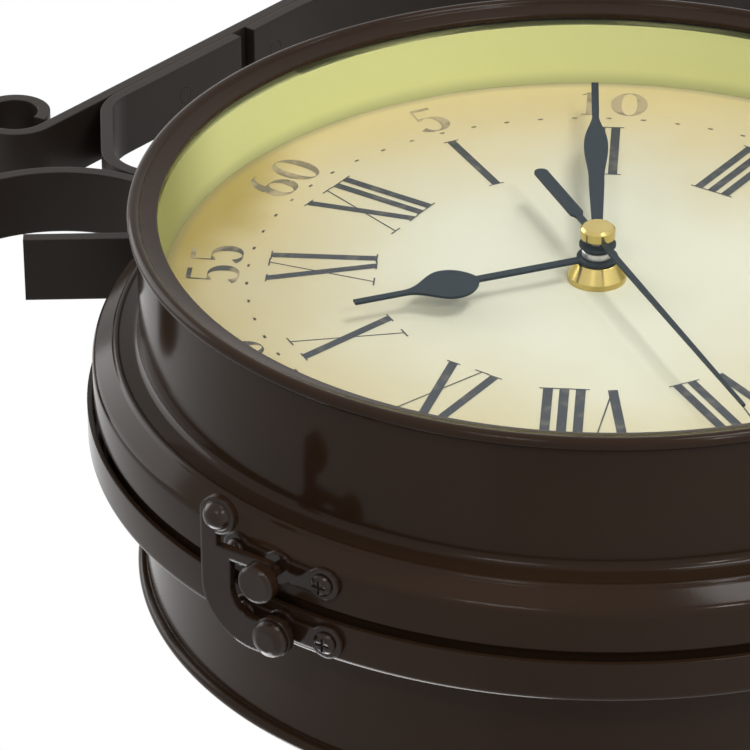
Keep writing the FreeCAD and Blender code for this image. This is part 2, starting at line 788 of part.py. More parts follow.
    second_teeth = size("second_wheel_teeth")
    second_module = 2 * size("second_wheel_radius") / second_teeth
    second_low = size("tray_back") + size("arbor_end_gap")
    second_wheel = toothed(second_teeth, second_module, second_high - face_width, second_high, 0)
    second_wheel = second_wheel.fuse(bar(arbor_radius, second_low, dial + size("second_arbor_top")))
    node(on_clock(formed(f"{face}_second_arbor", second_wheel), face))

    wheel_teeth = size("minute_wheel_teeth")
    knob_high = size("cover_back - setting_knob_gap")
    knob_low = knob_high - size("setting_knob_height")
    grips = []
    for index in range(int(size("setting_knob_grips"))):
        grip = bar(size("setting_knob_grip_radius"), knob_low - size("overrun"), knob_high + size("overrun"))
        spoke = FreeCAD.Rotation(FreeCAD.Vector(0, 0, 1), 360 * index / size("setting_knob_grips"))
        grip.translate(spoke.multVec(FreeCAD.Vector(size("setting_knob_radius"), 0, 0)))
        grips.append(grip)
    knob = bar(size("setting_knob_radius"), knob_low, knob_high).cut(Part.makeCompound(grips))
    setting = toothed(wheel_teeth, minute_module, minute_low, minute_high, 180 / wheel_teeth + 90)
    setting = setting.fuse([
        toothed(pinion_teeth, hour_module, hour_low - extra, hour_high + extra, 90),
        bar(size("setting_arbor_radius"), knob_low, hour_high + extra),
        knob,
    ])
    setting.translate(FreeCAD.Vector(0, distance, 0))
    node(on_clock(formed(f"{face}_setting_wheel", setting), face))

    # Hour hand with its collar, minute hand, second hand with its counterweight, and the brass cap.
    hour_level = dial + size("hour_hand_level")
    hour_stem = size("hour_stem_half")
    hour_tip = size("hour_tip_half")
    hour_leaf = leaf(size("hour_leaf_start"), size("hour_leaf_end"), size("hour_leaf_half"),
                     hour_stem, hour_tip, HOUR_LEAF_SHARES)
    hour_runs = [
        [(0, hour_stem), hour_leaf[0]],
        hour_leaf,
        [hour_leaf[-1], (size("hour_hand_length"), hour_tip)],
    ]
    hour_hub = [(0, size("hour_hub_radius"))]
    hour_blade = hand(hour_runs, hour_hub, hour_tube + push, hour_level, size("hour_angle"))
    collar = bar(size("hour_collar_radius"), hour_level, dial + size("hour_collar_top"))
    hour_blade = hour_blade.fuse(collar.cut(bar(hour_tube + push, 0, 2 * dial)))
    node(on_clock(formed(f"{face}_hour_hand", hour_blade), face))
    minute_tip = size("minute_tip_half")
    minute_leaf = leaf(size("minute_leaf_start"), size("minute_leaf_end"), size("minute_leaf_half"),
                       size("minute_stem_far_half"), minute_tip, MINUTE_LEAF_SHARES)
    minute_runs = [
        [(0, size("minute_stem_half")), minute_leaf[0]],
        minute_leaf,
        [minute_leaf[-1], (size("minute_hand_length"), minute_tip)],
    ]
    minute_blade = hand(minute_runs, [(0, size("minute_hub_radius"))], minute_outside + push,
                        dial + size("minute_hand_level"), size("minute_angle"))
    node(on_clock(formed(f"{face}_minute_hand", minute_blade), face))
    needle = size("second_needle_half")
    tail = size("second_tail_half")
    tail_end = tail - size("second_tail_length")
    tail_start = -size("second_tail_start")
    second_runs = [
        [(tail_end, tail), (tail_start - tail, tail)],
        [(tail_start - tail, tail), (tail_start, needle)],
        [(tail_start, needle), (0, needle)],
        [(0, needle), (size("second_hand_length"), size("second_tip_half"))],
    ]
    second_rounds = [(tail_end, tail), (0, size("second_hub_radius"))]
    second_blade = hand(second_runs, second_rounds, arbor_radius + push,
                        dial + size("second_hand_level"), size("second_angle"))
    node(on_clock(formed(f"{face}_second_hand", second_blade), face))
    cap_low = "dial_height + second_hand_level + hand_thickness"
    node(on_clock(turned(f"{face}_hand_cap", [
        ("second_arbor_radius + push_gap", cap_low),
        ("cap_radius", cap_low),
        ("cap_radius", f"{cap_low} + cap_height - cap_edge"),
        ("cap_radius - cap_edge", f"{cap_low} + cap_height"),
        ("0", f"{cap_low} + cap_height"),
        ("0", "dial_height + second_arbor_top"),
        ("second_arbor_radius + push_gap", "dial_height + second_arbor_top"),
    ]), face))


dial_side("front")
dial_side("rear")


def curved_plate(label, inside, middle, half, lobe_up, height):
    """A plate pressed to the flange near nine o'clock: three round lobes joined by a waist."""
    reach = f"{inside} + plate_thickness + overrun"
    ring = cut(f"{label}_ring", rod(f"{label}_ring_out", f"{inside} + plate_thickness", "2 * flange_radius",
                                    ("0", "0", "-flange_radius")),
               [rod(f"{label}_ring_in", inside, "2 * flange_radius", ("0", "0", "-flange_radius"))])
    pieces = [block(f"{label}_waist", (reach, f"2 * {half}", "2 * plate_waist"),
                    (f"-({reach})", f"{middle} - {half}", f"{height} - plate_waist"))]
    for index, up in enumerate((f"{middle} + {half}", lobe_up, f"{middle} - {half}")):
        pieces.append(rod(f"{label}_lobe_{index}", "plate_lobe", reach, (f"-({reach})", up, height), "x"))
    return shared(label, fused(f"{label}_outline", pieces), ring)


# Latch keeper: curved plate with a mushroom post, held by two screws on the front flange.
keeper = curved_plate("keeper_plate_blank", "flange_radius", "keeper_up", "keeper_screw_half", "keeper_up",
                      "keeper_height")
node(on_clock(cut("latch_keeper_plate", keeper, [holes("keeper_plate_holes", keeper_places)])))
hook_low = "flange_radius + rear_lip + plate_thickness + screw_head_height + hook_gap"
hook_high = f"{hook_low} + hook_thickness"
post_foot = "flange_radius + plate_thickness"
post_low = f"{hook_high} + hook_gap"
post = turned("latch_post", [
    ("0", post_foot),
    ("post_neck_radius", post_foot),
    ("post_neck_radius", post_low),
    ("post_head_radius", post_low),
    ("post_head_radius", f"{post_low} + post_head_height - post_head_edge"),
    ("post_head_radius - post_head_edge", f"{post_low} + post_head_height"),
    ("0", f"{post_low} + post_head_height"),
])
outwards_left = FRONT.multiply(FreeCAD.Rotation(FreeCAD.Vector(0, 1, 0), -90))
node(at(post, ("-wall_to_clock", "-keeper_height", "keeper_up - clock_drop"), outwards_left))
node(on_clock(group("latch_keeper_screws", plate_screw, keeper_places)))

# Latch base on the rear flange, with the shouldered pivot pin that the hook turns on.
base = curved_plate("base_plate_blank", "flange_radius + rear_lip", "base_up", "base_screw_half", "pivot_up",
                    "-base_height")
node(on_clock(cut("latch_base_plate", base, [holes("base_plate_holes", base_places)])))
node(on_clock(group("latch_base_screws", plate_screw, base_places)))
pivot_foot = "flange_radius + rear_lip + plate_thickness"
pivot_head = f"{hook_high} + hook_gap"
pivot = turned("latch_pivot_pin", [
    ("0", pivot_foot),
    ("pivot_boss_radius", pivot_foot),
    ("pivot_boss_radius", f"{hook_low} - hook_gap"),
    ("pivot_radius", f"{hook_low} - hook_gap"),
    ("pivot_radius", pivot_head),
    ("pivot_head_radius", pivot_head),
    ("pivot_head_radius", f"{pivot_head} + pivot_head_height * pivot_dome_edge_share"),
    ("pivot_head_radius * pivot_dome_shoulder_share",
     f"{pivot_head} + pivot_head_height * pivot_dome_shoulder_rise"),
    ("pivot_head_radius * pivot_dome_top_share", f"{pivot_head} + pivot_head_height"),
    ("0", f"{pivot_head} + pivot_head_height"),
])
node(at(pivot, ("-wall_to_clock", "pivot_height", "pivot_up - clock_drop"), outwards_left))

# Hook: eye on the pivot, broad round bend, finger with a ball to push, and the nib behind the post's head. It
# is drawn in the plane of the latch (x up, y towards the front) from its outer face inwards.
eye_at = FreeCAD.Vector(size("pivot_up"), -size("pivot_height"))
bend_radius = size("hook_bend_radius")
past_pivot = size("hook_bend_past_pivot")
bend_at = eye_at + FreeCAD.Vector(past_pivot, math.sqrt(bend_radius ** 2 - past_pivot ** 2))
hook_depth = size("hook_thickness")
hook_inner = bend_radius - size("hook_width / 2")
hook_outer = bend_radius + size("hook_width / 2")
inwards = FreeCAD.Vector(0, 0, 1)
eye_deg = math.degrees(math.atan2(eye_at.y - bend_at.y, eye_at.x - bend_at.x))
hook_bend = Part.makeCylinder(hook_outer, hook_depth, bend_at, inwards, -eye_deg)
hook_bend.rotate(bend_at, inwards, eye_deg)
hook_bend = hook_bend.cut(Part.makeCylinder(hook_inner, hook_depth, bend_at))
nib_start = size("keeper_up - hook_nib_past")
nib_low = size("keeper_height + post_neck_radius + hook_gap")
nib_width = size("hook_nib_width")
body = Part.makeBox(hook_outer - hook_inner, nib_low + nib_width - bend_at.y, hook_depth,
                    bend_at + FreeCAD.Vector(hook_inner, 0))
nib_length = bend_at.x + bend_radius - nib_start
nib = Part.makeBox(nib_length, nib_width, hook_depth, FreeCAD.Vector(nib_start, nib_low))
finger_length = size("hook_finger_length")
finger_width = size("hook_finger_width")
finger_at = bend_at + FreeCAD.Vector(hook_outer - finger_width, 0)
finger = Part.makeBox(finger_width, finger_length, hook_depth, finger_at)
knob_radius = size("hook_knob_radius")
knob_at = bend_at + FreeCAD.Vector(hook_outer - knob_radius, finger_length)
hook = hook_bend.fuse([
    Part.makeCylinder(size("hook_eye_radius"), hook_depth, eye_at),
    body,
    nib,
    finger,
    Part.makeCylinder(knob_radius, hook_depth, knob_at),
    Part.makeSphere(size("hook_ball_radius"), knob_at + inwards * (hook_depth / 2)),
])
hook = hook.removeSplitter().cut(Part.makeCylinder(size("pivot_radius + running_gap"), hook_depth, eye_at))
hook_item = formed("latch_hook", hook)
latch_plane = FreeCAD.Rotation(FreeCAD.Vector(0, 0, 1), FreeCAD.Vector(0, -1, 0), FreeCAD.Vector(1, 0, 0))
node(at(hook_item, (f"-wall_to_clock - ({hook_high})", "0", "-clock_drop"), latch_plane))

# Hinge: a curved leaf on each flange, with one knuckle on the front leaf between two on the rear leaf.
pin_out = "flange_radius + hinge_out"


def hinge_leaf(label, inside, direction, spans, places):
    """One hinge leaf. The direction is 1 towards the front and -1 towards the rear."""
    reach = f"{inside} + plate_thickness"
    low = "leaf_near" if direction > 0 else "-leaf_far"
    web_low = "web_near" if direction > 0 else "-web_far"
    ring = cut(f"{label}_ring", rod(f"{label}_ring_out", reach, "2 * leaf_far", ("0", "0", "-leaf_far")),
               [rod(f"{label}_ring_in", inside, "2 * leaf_far", ("0", "0", "-leaf_far"))])
    leaf = shared(f"{label}_leaf", ring, block(f"{label}_leaf_box",
                  (reach, "2 * hinge_half_height", "leaf_far - leaf_near"), ("0", "-hinge_half_height", low)))
    pieces = [leaf]
    for index, (start, length) in enumerate(spans):
        pieces.append(rod(f"{label}_knuckle_{index}", "knuckle_radius", length, (pin_out, start, "0"), "y"))
        web = ("hinge_out + plate_thickness", length, "web_far - web_near")
        pieces.append(block(f"{label}_web_{index}", web, ("flange_radius - plate_thickness", start, web_low)))
    bore = rod(f"{label}_bore", "hinge_pin_radius + running_gap", "2 * (hinge_half_height + overrun)",
               (pin_out, "-hinge_half_height - overrun", "0"), "y")
    drum = rod(f"{label}_drum", inside, "2 * leaf_far", ("0", "0", "-leaf_far"))
    return node(on_clock(cut(label, fused(f"{label}_blank", pieces),
                             [drum, bore, holes(f"{label}_holes", places)])))


side_length = "hinge_half_height - hinge_mid_half - knuckle_gap"
hinge_leaf("hinge_front_leaf", "flange_radius", 1, [("-hinge_mid_half", "2 * hinge_mid_half")],
           hinge_front_places)
hinge_leaf("hinge_rear_leaf", "flange_radius + rear_lip", -1,
           [("hinge_mid_half + knuckle_gap", side_length), ("-hinge_half_height", side_length)],
           hinge_rear_places)
pin_head_low = "hinge_half_height + knuckle_gap"
hinge_pin = turned("hinge_pin", [
    ("0", "-hinge_half_height"),
    ("hinge_pin_radius", "-hinge_half_height"),
    ("hinge_pin_radius", pin_head_low),
    ("hinge_pin_head", pin_head_low),
    ("hinge_pin_head", f"{pin_head_low} + hinge_pin_head_height"),
    ("0", f"{pin_head_low} + hinge_pin_head_height"),
])
node(at(hinge_pin, (f"{pin_out} - wall_to_clock", "0", "-clock_drop"), TURNS["z"]))
node(on_clock(group("hinge_front_screws", plate_screw, hinge_front_places)))
node(on_clock(group("hinge_rear_screws", plate_screw, hinge_rear_places)))

thickness = size("bar_thickness")
bar_width = size("bar_width")


def bent_bar(start, heading, runs):
    """A flat bar on edge, walked from a start: a run is a length ahead, or a turn in degrees and a radius."""
    spot = FreeCAD.Vector(*start)
    sides = {1: [], -1: []}

    def normal(angle):
        return FreeCAD.Vector(-math.sin(math.radians(angle)), math.cos(math.radians(angle)))

    def ahead(angle):
        return FreeCAD.Vector(math.cos(math.radians(angle)), math.sin(math.radians(angle)))

    begin = (spot, heading)
    for run in runs:
        if len(run) == 1:
            following = spot + ahead(heading) * run[0]
            for side, edges in sides.items():
                offset = normal(heading) * (side * thickness / 2)
                edges.append(Part.LineSegment(spot + offset, following + offset).toShape())
            spot = following
            continue
        turn, radius = run
        hand_side = math.copysign(1, turn)
        centre = spot + normal(heading) * (hand_side * radius)
        for side, edges in sides.items():
            arm = radius - hand_side * side * thickness / 2
            points = [centre - normal(heading + turn * share) * (hand_side * arm) for share in (0, 1 / 2, 1)]
            edges.append(Part.Arc(*points).toShape())
        heading += turn
        spot = centre - normal(heading) * (hand_side * radius)

    def end_cap(place, angle):
        offset = normal(angle) * (thickness / 2)
        return Part.LineSegment(place + offset, place - offset).toShape()

    edges = sides[1] + [end_cap(spot, heading)] + sides[-1] + [end_cap(*begin)]
    face = Part.Face(Part.Wire(Part.__sortEdges__(edges)))
    solid = face.extrude(FreeCAD.Vector(0, 0, bar_width))
    solid.translate(FreeCAD.Vector(0, 0, -bar_width / 2))
    return solid


def drilled(solid, places, radius):
    """Takes round holes along each place's z axis out of a bar."""
    reach = 2 * thickness
    for place in places:
        drill = Part.makeCylinder(radius, 2 * reach, FreeCAD.Vector(0, 0, -reach))
        drill.Placement = place
        solid = solid.cut(drill)
    return solid


# The arm's line: it leaves the bend over its foot and rises towards the tip.
rise = size("arm_rise_deg")
bend_turn = 90 - rise
bend = size("bar_bend")
bar_on_wall = size("wall_to_clock - wall_plate_thickness - bar_thickness / 2")
along_arm = FreeCAD.Vector(-math.cos(math.radians(rise)), math.sin(math.radians(rise)))
under_arm = FreeCAD.Vector(-math.sin(math.radians(rise)), -math.cos(math.radians(rise)))
arm_start = FreeCAD.Vector(bar_on_wall - bend, size("arm_height")) - under_arm * bend
arm_length = (arm_start.x - size("arm_tip_to_clock")) / math.cos(math.radians(rise))


def arm_spot(across):
    """The point of the arm's middle line at a distance across from the clock's centre."""
    return arm_start + along_arm * ((arm_start.x - across) / math.cos(math.radians(rise)))


# The brace's bend ends tangent to the arm's underside, so its radius follows from its foot and the arm.
brace_foot_top = size("brace_height + brace_foot")
lower_line = arm_start + under_arm * thickness
drop_to_line = (lower_line - FreeCAD.Vector(bar_on_wall, brace_foot_top)).dot(under_arm)
brace_radius = -drop_to_line / (1 + under_arm.x)
brace_bend_end = FreeCAD.Vector(bar_on_wall - brace_radius, brace_foot_top) - under_arm * brace_radius
brace_end = brace_bend_end + along_arm * size("brace_lap")
# The leg lies under the arm from a little past the brace's end to its own bend.
leg_lap_end = arm_spot(size("leg_lap_end_to_clock") - under_arm.x * thickness)
leg_lap_start = arm_spot(brace_end.x - size("leg_brace_gap") - under_arm.x * thickness)
leg_lap = (leg_lap_end - leg_lap_start).Length
# Rivets stand square to the bars that they join.
across_arm = FreeCAD.Rotation(FreeCAD.Vector(0, 0, 1), -under_arm)
leg_rivet = FreeCAD.Placement((leg_lap_start + leg_lap_end) / 2, across_arm)
brace_rivet_spot = (brace_bend_end + brace_end) / 2 - under_arm * thickness
brace_rivet = FreeCAD.Placement(brace_rivet_spot, across_arm)
wall_turn = FreeCAD.Rotation(FreeCAD.Vector(0, 0, 1), FreeCAD.Vector(-1, 0, 0))
arm_foot_low = size("arm_height - arm_foot")
wall_rivets = [
    FreeCAD.Placement(FreeCAD.Vector(bar_on_wall, arm_foot_low + size("wall_rivet_inset")), wall_turn),
    FreeCAD.Placement(FreeCAD.Vector(bar_on_wall, size("arm_height - wall_rivet_inset")), wall_turn),
    FreeCAD.Placement(FreeCAD.Vector(bar_on_wall, size("brace_height + wall_rivet_inset")), wall_turn),
]
rivet_hole = size("rivet_radius + rivet_gap")

# Wall plate: round-ended flat plate with two screw holes and the rivet holes.
plate_half = "(wall_plate_length - wall_plate_width) / 2"
plate_blank = fused("wall_plate_blank", [
    block("wall_plate_middle", ("wall_plate_thickness", "wall_plate_width", f"2 * ({plate_half})"),
          ("-wall_plate_thickness", "-wall_plate_width / 2", f"-({plate_half})")),
    rod("wall_plate_top", "wall_plate_width / 2", "wall_plate_thickness",
        ("-wall_plate_thickness", "0", plate_half), "x"),
    rod("wall_plate_foot", "wall_plate_width / 2", "wall_plate_thickness",
        ("-wall_plate_thickness", "0", f"-({plate_half})"), "x"),
])
plate_drills = []
for index, spot in enumerate((plate_half, f"-({plate_half})")):
    plate_drills.append(rod(f"wall_hole_{index}", "wall_hole_radius", "wall_plate_thickness + 2 * overrun",
                            ("-wall_plate_thickness - overrun", "0", spot), "x"))
for index, place in enumerate(wall_rivets):
    plate_drills.append(rod(f"wall_rivet_hole_{index}", "rivet_radius + rivet_gap",
                            "wall_plate_thickness + 2 * overrun",
                            ("-wall_plate_thickness - overrun", "0", f"{place.Base.y} - clock_drop"), "x"))
node(cut("wall_plate", plate_blank, plate_drills))

# Arm, brace and hanger leg.
arm_bar = bent_bar((bar_on_wall, arm_foot_low), 90, [
    (size("arm_foot"),),
    (bend_turn, bend),
    (arm_length,),
    (-size("curl_turn_deg"), size("curl_radius")),
    (-size("curl_inner_turn_deg"), size("curl_radius * curl_inner_share")),
])
arm_bar = drilled(arm_bar, [leg_rivet, brace_rivet] + wall_rivets[:2], rivet_hole)
node(on_clock(formed("bracket_arm", arm_bar)))
brace_bar = bent_bar((bar_on_wall, size("brace_height")), 90, [
    (size("brace_foot"),),
    (bend_turn, brace_radius),
    (size("brace_lap"),),
])
node(on_clock(formed("bracket_brace", drilled(brace_bar, [brace_rivet, wall_rivets[2]], rivet_hole))))
leg_top = leg_lap_start + under_arm * thickness
leg_bend = size("leg_bend")
slant = size("leg_slant_deg")
slant_sine = math.sin(math.radians(slant))
slant_cosine = math.cos(math.radians(slant))
leg_bend_at = leg_lap_end + under_arm * (thickness + leg_bend)
slant_start = leg_bend_at + FreeCAD.Vector(-slant_sine, slant_cosine) * leg_bend
slant_length = (slant_start.x - size("leg_to_clock") - leg_bend * (1 - slant_sine)) / slant_cosine
upright_top = slant_start.y - slant_length * slant_sine - leg_bend * slant_cosine
leg_foot_bend = leg_bend_centre * math.cos(math.radians(leg_angle))
leg_bar = bent_bar((leg_top.x, leg_top.y), 180 - rise, [
    (leg_lap,),
    (slant + rise, leg_bend),
    (slant_length,),
    (90 - slant, leg_bend),
    (upright_top - leg_foot_bend,),
    (90 - leg_angle, bend),
    (-size("leg_foot_deg"), foot_radius),
])
leg_bar = drilled(leg_bar, [leg_rivet], rivet_hole)
leg_bar = drilled(leg_bar, foot_places[1:], size("screw_radius + screw_hole_gap"))
node(on_clock(formed("hanger_leg", leg_bar)))

# Scroll: cut end, foot on the case, rise, large arch and a small tip turned the other way.
from_deg = size("scroll_foot_from_deg")
end_deg = size("scroll_end_deg")
from_top = math.radians(from_deg)
foot_bend = FreeCAD.Vector(-math.sin(from_top), math.cos(from_top)) * leg_bend_centre
into_bend = FreeCAD.Vector(-math.sin(math.radians(end_deg)), -math.cos(math.radians(end_deg))) * bend
end_ahead = FreeCAD.Vector(math.cos(math.radians(end_deg)), -math.sin(math.radians(end_deg)))
scroll_start = foot_bend + into_bend - end_ahead * size("scroll_end_length")
scroll_bar = bent_bar((scroll_start.x, scroll_start.y), -end_deg, [
    (size("scroll_end_length"),),
    (end_deg + from_deg, bend),
    (-(from_deg + scroll_angle), foot_radius),
    (90 + scroll_angle, bend),
    (size("scroll_rise"),),
    (size("scroll_turn_deg"), size("scroll_radius")),
    (-size("scroll_tip_turn_deg"), size("scroll_tip_radius")),
])
scroll_bar = drilled(scroll_bar, foot_places[:1], size("screw_radius + screw_hole_gap"))
node(on_clock(formed("hanger_scroll", scroll_bar)))
node(on_clock(group("hanger_screws", foot_screw, foot_places)))


def rivet(place, low, high):
    """A shank between two distances along its place, headed at the high end and flush at the low one."""
    shank = Part.makeCylinder(size("rivet_radius"), high - low, FreeCAD.Vector(0, 0, low))
    head = rivet_pattern.Shape.copy()
    head.Placement = FreeCAD.Placement(FreeCAD.Vector(0, 0, high), TURNS["z"])
    solid = shank.fuse(head)
    solid.Placement = place
    return solid


rivets = [rivet(place, -3 * thickness / 2, thickness / 2) for place in (leg_rivet, brace_rivet)]
into_wall_plate = -thickness / 2 - size("wall_plate_thickness")
rivets += [rivet(place, into_wall_plate, thickness / 2) for place in wall_rivets]
node(on_clock(formed("bracket_rivets", Part.makeCompound(rivets))))

# Every object has to be sound before anything is written.
DOC.recompute()
faults = [item.Label for item in DOC.Objects if {"Invalid", "Error"} & set(item.State)]
faults += [item.Label for item in NODES if item.Shape.isNull() or not item.Shape.isValid()]
if faults:
    raise RuntimeError(f"failed objects: {faults}")
os.makedirs("parts", exist_ok=True)
for item in NODES:
    item.Shape.exportStep(f"parts/{item.Label}.step")
    print(item.Label, len(item.Shape.Solids), round(item.Shape.Volume))
print(len(NODES), "sub-parts")
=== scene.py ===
import math

import bmesh
import bpy
from mathutils import Matrix, Vector


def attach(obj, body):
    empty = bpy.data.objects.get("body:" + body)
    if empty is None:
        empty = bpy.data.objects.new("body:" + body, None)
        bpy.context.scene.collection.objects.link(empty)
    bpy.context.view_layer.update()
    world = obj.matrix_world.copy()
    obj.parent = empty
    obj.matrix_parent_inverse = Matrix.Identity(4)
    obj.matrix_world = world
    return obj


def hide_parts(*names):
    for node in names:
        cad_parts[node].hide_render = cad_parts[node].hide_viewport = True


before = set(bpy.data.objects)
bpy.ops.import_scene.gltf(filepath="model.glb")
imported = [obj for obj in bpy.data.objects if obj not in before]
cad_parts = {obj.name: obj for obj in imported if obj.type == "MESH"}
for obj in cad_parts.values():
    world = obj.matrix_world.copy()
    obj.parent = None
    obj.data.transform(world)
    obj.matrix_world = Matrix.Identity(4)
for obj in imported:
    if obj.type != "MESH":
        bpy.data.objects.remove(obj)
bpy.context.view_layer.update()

# Wall bracket: flat iron bar, bent cold into arm, brace, hanger leg and scroll, riveted together and
# dipped in dark brown enamel with the plate that carries them. The film is even, with a faint orange peel.


class Finish:
    """A socket in a material's node tree. Sums written on it add Math nodes."""

    def __init__(self, tree, socket=None):
        self.tree = tree
        self.socket = socket

    def add(self, kind, settings, sockets, out=0):
        """Adds a node of a type, with its settings and the values or links of its sockets."""
        node = self.tree.nodes.new(kind)
        for name, value in settings.items():
            setattr(node, name, value)
        for name, value in sockets.items():
            if isinstance(value, Finish):
                self.tree.links.new(value.socket, node.inputs[name])
            else:
                node.inputs[name].default_value = value
        return Finish(self.tree, node.outputs[out] if node.outputs else None)

    def sum(self, operation, first, second):
        return self.add("ShaderNodeMath", {"operation": operation}, {0: first, 1: second})

    def __add__(self, other):
        return self.sum("ADD", self, other)

    def __radd__(self, other):
        return self.sum("ADD", other, self)

    def __mul__(self, other):
        return self.sum("MULTIPLY", self, other)

    def __rmul__(self, other):
        return self.sum("MULTIPLY", other, self)

    def mixed(self, low, high):
        """A colour between two others, this socket being the share of the second."""
        return self.add("ShaderNodeMix", {"data_type": "RGBA"}, {0: self, 6: low, 7: high}, 2)

    def noise(self, scale, detail=2.0):
        """Cloudy variation from 0 to 1, its scale in patches to the metre."""
        place = self.add("ShaderNodeTexCoord", {}, {}, "Object")
        return self.add("ShaderNodeTexNoise", {}, {"Vector": place, "Scale": scale, "Detail": detail})

    def bumped(self, height, strength, depth, edge):
        """A surface normal from a height of some depth, over edges softened to a small radius, in metres."""
        soft = self.add("ShaderNodeBevel", {"samples": 4}, {"Radius": edge})
        return self.add("ShaderNodeBump", {}, {
            "Height": height, "Strength": strength, "Distance": depth, "Normal": soft})


def new_finish(name, build):
    """A material whose surface is made by a function of its empty node tree."""
    material = bpy.data.materials.new(name)
    material.use_nodes = True
    material.node_tree.nodes.clear()
    start = Finish(material.node_tree)
    start.add("ShaderNodeOutputMaterial", {}, {"Surface": build(start)})
    return material


def dressed(material, *names):
    """Gives CAD nodes their finish."""
    for name in names:
        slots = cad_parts[name].data.materials
        slots.clear()
        slots.append(material)


def bracket_enamel(tree):
    thick_film = (0.0180, 0.0130, 0.0096, 1)
    thin_film = (0.0260, 0.0186, 0.0140, 1)
    cloud = tree.noise(30.0, detail=4.0)
    peel = tree.noise(700.0)
    return tree.add("ShaderNodeBsdfPrincipled", {}, {
        "Base Color": cloud.mixed(thick_film, thin_film),
        "Roughness": 0.34 + 0.12 * cloud,
        "Specular IOR Level": 0.16,
        "Normal": tree.bumped(peel, strength=0.12, depth=0.0002, edge=0.0006),
    })


dressed(new_finish("bracket_enamel", bracket_enamel),
        "wall_plate", "bracket_arm", "bracket_brace", "hanger_leg", "hanger_scroll", "bracket_rivets",
        "hanger_screws")

# Case: two spun steel halves, each with a rolled bead at the glass and a stepped flange at the split,
# sprayed in a smooth dark brown that has a soft shine. Each half is turned here from its profile, in
# millimetres from the clock's middle, so that the beads and the bends are round. The locating ring stays.
CLOCK = Vector((-0.180, 0.0, -0.120))
MM = 0.001


def case_enamel(tree):
    thick_coat = (0.0230, 0.0124, 0.0070, 1)
    thin_coat = (0.0370, 0.0200, 0.0110, 1)
    cloud = tree.noise(18.0, detail=3.0)
    peel = tree.noise(520.0)
    return tree.add("ShaderNodeBsdfPrincipled", {}, {
        "Base Color": cloud.mixed(thick_coat, thin_coat),
        "Roughness": 0.11 + 0.06 * cloud,
        "Specular IOR Level": 0.10,
        "Normal": tree.bumped(peel, strength=0.04, depth=0.0002, edge=0.0004),
    })


def eased(corners, steps=6):
    """A profile of (radius, height, bend) corners, with an arc in place of each corner that has a bend."""
    points = []
    for index, (radius, height, bend) in enumerate(corners):
        corner = Vector((radius, height))
        if not bend:
            points.append(corner)
            continue
        before = (Vector(corners[index - 1][:2]) - corner).normalized()
        after = (Vector(corners[index + 1][:2]) - corner).normalized()
        half = before.angle(after) / 2
        middle = corner + (before + after).normalized() * (bend / math.sin(half))
        start = corner + before * (bend / math.tan(half)) - middle
        end = corner + after * (bend / math.tan(half)) - middle
        for step in range(steps + 1):
            points.append(middle + start.slerp(end, step / steps).normalized() * bend)
    return points


def spun(name, profile, side, around, material):
    """A ring turned about the clock's axis from a closed profile, in a number of steps around.

    The side is 1 to the front and -1 to the rear."""
    corners = []
    for radius, height in profile:
        for step in range(around):
            turn = math.tau * step / around
            corner = Vector((radius * math.cos(turn), -side * height, radius * math.sin(turn)))
            corners.append(CLOCK + MM * corner)
    sides = []
    for row in range(len(profile)):
        for step in range(around):
            near = [row * around + step, row * around + (step + 1) % around]
            far = [(index + around) % len(corners) for index in near]
            sides.append((near[0], near[1], far[1], far[0])[::-side])
    mesh = bpy.data.meshes.new(name)
    mesh.from_pydata(corners, [], sides)
    mesh.polygons.foreach_set("use_smooth", [True] * len(sides))
    mesh.set_sharp_from_angle(angle=math.radians(28))
    mesh.materials.append(material)
    ring = bpy.data.objects.new(name, mesh)
    bpy.context.collection.objects.link(ring)
    return ring


brown = new_finish("case_enamel", case_enamel)
dressed(brown, "locating_ring")
sheet = 1.2
drum_radius = 101.8
opening_radius = 97.0
bezel_height = 42.9
split_height = 1.0
bead_radius = 1.5
bead_place = (102.3, 44.4)
bead = []
for degrees in range(163, -113, -12):
    turn = math.radians(degrees)
    bead.append((bead_place[0] + bead_radius * math.cos(turn), bead_place[1] + bead_radius * math.sin(turn)))
for face, side, edge in (("front", 1, 112.5), ("rear", -1, 114.0)):
    outside = [
        (drum_radius, bezel_height, 0), (drum_radius, 14.6, 2.0),
        (106.3, 13.8, 0.3), (107.2, 14.5, 0.8), (108.0, 13.2, 0.4),
        (edge, 10.2, 2.4), (edge, split_height, 0),
    ]
    inside = [
        (edge - sheet, split_height, 0), (edge - sheet, 9.48, 0), (106.88, 12.2, 0),
        (drum_radius - sheet, 13.6, 0), (drum_radius - sheet, bezel_height, 0),
    ]
    bezel = [
        (opening_radius, bezel_height, 0.3), (opening_radius, bezel_height + sheet, 0.4), (100.8, 44.8, 0),
    ]
    wall = [tuple(point) for point in eased(outside + inside + bezel)]
    half = spun(f"{face}_case_half", wall + bead, side, 256, brown)
    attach(half, "front_half" if face == "front" else "bracket_and_rear_half")
    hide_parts(f"{face}_case")

# Dial sleeves: thin rolled steel rims between glass and dial, sprayed in a pale yellow-green that is
# matt and a little uneven, with painted shade between eleven and twelve and a painted shadow where it
# meets the dial. They are turned from their profile like the case.


def from_middle(tree):
    """A point's place from the clock's middle, in metres."""
    place = tree.add("ShaderNodeTexCoord", {}, {}, "Object")
    return tree.add("ShaderNodeVectorMath", {"operation": "SUBTRACT"}, {0: place, 1: CLOCK})


def reach(tree, direction):
    """How far a point lies from the clock's middle in a direction, in metres."""
    return tree.add("ShaderNodeVectorMath", {"operation": "DOT_PRODUCT"}, {
        0: from_middle(tree), 1: direction}, "Value")


def off_split(tree):
    """How far a point lies from the plane between the two halves, in metres."""
    return tree.sum("ABSOLUTE", reach(tree, (0, 1, 0)), 0.0)


